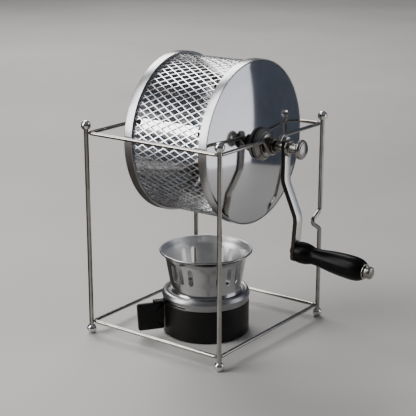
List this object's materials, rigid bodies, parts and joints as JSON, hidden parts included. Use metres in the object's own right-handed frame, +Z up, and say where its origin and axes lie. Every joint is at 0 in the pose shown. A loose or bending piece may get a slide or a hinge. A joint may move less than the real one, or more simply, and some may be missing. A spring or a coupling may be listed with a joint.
{
  "type": "hand-cranked mesh drum coffee roaster",
  "caption": "Coffee roaster for the table: a wire-mesh drum with polished ends, turned by a hand crank, in a ball-footed wire stand over a spirit burner.",
  "frame": {"origin": "on the table, under the middle of the whole object's box", "axes": "+Z up, +X along the drum's shaft towards the crank, -Y the side that faces the picture's camera"},
  "size_m": [0.2478, 0.1676, 0.2535],
  "materials": {
    "wire_steel": "polished round wire",
    "polished_steel": "mirror polished",
    "mirror_disc": "mirror polished sheet",
    "bright_mesh": "bright expanded metal",
    "satin_steel": "satin, turned",
    "bush_bronze": "plain turned bronze",
    "spun_metal": "spun, with fine turning lines",
    "black_enamel": "satin black",
    "grip_black": "polished black",
    "white_fibre": "matted fibre"
  },
  "bodies": {
    "stand": {"post_front_left": "wire_steel", "top_ball_front_left": "polished_steel", "foot_ball_front_left": "polished_steel", "post_front_right": "wire_steel", "top_ball_front_right": "polished_steel", "foot_ball_front_right": "polished_steel", "post_rear_right": "wire_steel", "top_ball_rear_right": "polished_steel", "foot_ball_rear_right": "polished_steel", "post_rear_left": "wire_steel", "top_ball_rear_left": "polished_steel", "foot_ball_rear_left": "polished_steel", "cradle_rail_left": "wire_steel", "cradle_rail_right": "wire_steel", "bottom_rail_left": "wire_steel", "bottom_rail_right": "wire_steel", "top_rail_front": "wire_steel", "top_rail_rear": "wire_steel", "bottom_rail_front": "wire_steel", "bottom_rail_rear": "wire_steel"},
    "bearings": {"bearing_bush_left": "bush_bronze", "bearing_bush_right": "bush_bronze"},
    "drum": {"mesh_panel_1": "bright_mesh", "mesh_panel_2": "bright_mesh", "mesh_panel_3": "bright_mesh", "mesh_panel_4": "bright_mesh", "hatch_frame": "satin_steel", "hatch_pin": "polished_steel", "drum_band_left": "satin_steel", "drum_band_right": "satin_steel", "end_disc_left": "mirror_disc", "end_disc_right": "mirror_disc", "hub_left": "satin_steel", "hub_right": "satin_steel", "lifter_vane_1": "satin_steel", "lifter_vane_2": "satin_steel", "lifter_vane_3": "satin_steel", "lifter_vane_4": "satin_steel", "shaft": "satin_steel", "spacer_sleeve": "satin_steel", "shaft_collar": "satin_steel", "crank_arm": "polished_steel", "knob_nut": "polished_steel", "grip_pin": "polished_steel", "grip_washer": "satin_steel"},
    "hatch": {"hatch_door": "bright_mesh"},
    "grip": {"grip": "grip_black"},
    "burner": {"burner_base": "black_enamel", "fuel_pot": "satin_steel", "wadding": "white_fibre", "wick_gauze": "satin_steel", "burner_cover": "spun_metal"},
    "regulator": {"regulator": "satin_steel", "lever_paddle": "black_enamel"},
    "cup": {"burner_cup": "spun_metal"}
  },
  "joints": [
    {"name": "drum_lift", "type": "slide", "parent": "stand", "child": "bearings", "axis": [0, 0, 1], "range_m": [0, 0.09]},
    {"name": "drum_spin", "type": "hinge", "parent": "bearings", "child": "drum", "pos_m": [0, 0, 0.1812], "axis": [1, 0, 0], "continuous": true},
    {"name": "grip_spin", "type": "hinge", "parent": "drum", "child": "grip", "pos_m": [0.04839, 0, 0.0912], "axis": [0.9973, 0, -0.0733], "continuous": true},
    {"name": "hatch_swing", "type": "hinge", "parent": "drum", "child": "hatch", "pos_m": [-0.03807, 0.05311, 0.13199], "axis": [1, 0, 0], "range_deg": [0, 120]},
    {"name": "burner_lift", "type": "slide", "parent": "stand", "child": "burner", "axis": [0, 0, 1], "range_m": [0, 0.015]},
    {"name": "regulator_turn", "type": "hinge", "parent": "burner", "child": "regulator", "pos_m": [-0.04162, -0.0086, 0.032], "axis": [0, 0, 1], "range_deg": [0, 36]},
    {"name": "cup_lift", "type": "slide", "parent": "burner", "child": "cup", "axis": [0, 0, 1], "range_m": [0, 0.012]}
  ]
}
